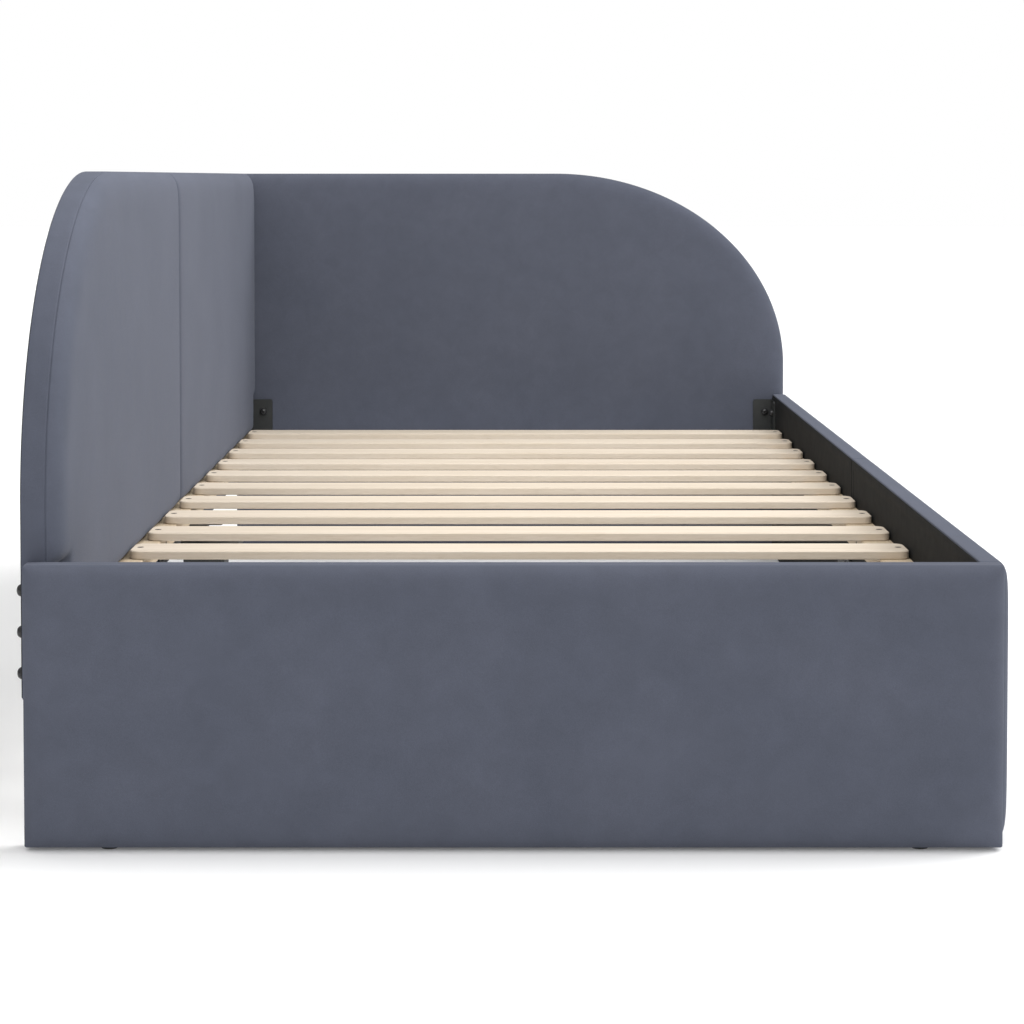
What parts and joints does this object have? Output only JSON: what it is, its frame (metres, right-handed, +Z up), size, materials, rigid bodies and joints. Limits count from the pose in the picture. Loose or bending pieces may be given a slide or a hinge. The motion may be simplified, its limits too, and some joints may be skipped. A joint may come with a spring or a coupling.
{
  "type": "daybed",
  "caption": "Upholstered velvet daybed frame with a rounded high back board, a rounded side backrest, a low padded rail and a slatted base.",
  "frame": {"origin": "on the floor, under the middle of the whole bed", "axes": "+X across the bed towards the low rail, +Y from the foot end to the head end, +Z up"},
  "size_m": [0.9877, 2.017, 0.668],
  "materials": {
    "velvet": "dark grey velvet, low pile",
    "lining": "black non-woven lining",
    "foam": "open-cell foam",
    "engineered_wood": "raw particle board",
    "slat_wood": "planed pale solid wood",
    "batten_wood": "planed solid wood",
    "black_steel": "black powder coat",
    "black_bolt": "black oxide",
    "dark_screw": "dark phosphated steel",
    "zinc": "zinc plated",
    "black_plastic": "moulded"
  },
  "bodies": {
    "root": {"backboard_core": "engineered_wood", "backboard_cover": "velvet", "backboard_foam": "foam", "backboard_lining": "lining", "batten_screws": "dark_screw", "corner_bolts": "black_bolt", "corner_inserts": "zinc", "footboard_core": "engineered_wood", "footboard_cover": "velvet", "footboard_foam": "foam", "footboard_lining": "lining", "glides": "black_plastic", "joint_screws": "black_bolt", "left_foot_batten": "batten_wood", "left_foot_bracket": "black_steel", "left_head_batten": "batten_wood", "left_head_bracket": "black_steel", "leg_foot": "black_plastic", "leg_screws": "dark_screw", "mid_leg": "black_steel", "rail_foot_core": "engineered_wood", "rail_foot_cover": "velvet", "rail_foot_foam": "foam", "rail_foot_lining": "lining", "rail_head_core": "engineered_wood", "rail_head_cover": "velvet", "rail_head_foam": "foam", "rail_head_lining": "lining", "rail_joint_plate": "black_steel", "right_foot_batten": "batten_wood", "right_foot_bracket": "black_steel", "right_head_batten": "batten_wood", "right_head_bracket": "black_steel", "side_bolts": "black_bolt", "side_foot_core": "engineered_wood", "side_foot_cover": "velvet", "side_foot_foam": "foam", "side_foot_lining": "lining", "side_head_core": "engineered_wood", "side_head_cover": "velvet", "side_head_foam": "foam", "side_head_lining": "lining", "side_joint_plate": "black_steel", "side_nuts": "zinc", "slat_01": "slat_wood", "slat_02": "slat_wood", "slat_03": "slat_wood", "slat_04": "slat_wood", "slat_05": "slat_wood", "slat_06": "slat_wood", "slat_07": "slat_wood", "slat_08": "slat_wood", "slat_09": "slat_wood", "slat_10": "slat_wood", "slat_11": "slat_wood", "slat_12": "slat_wood", "slat_screws": "dark_screw"}
  },
  "joints": []
}
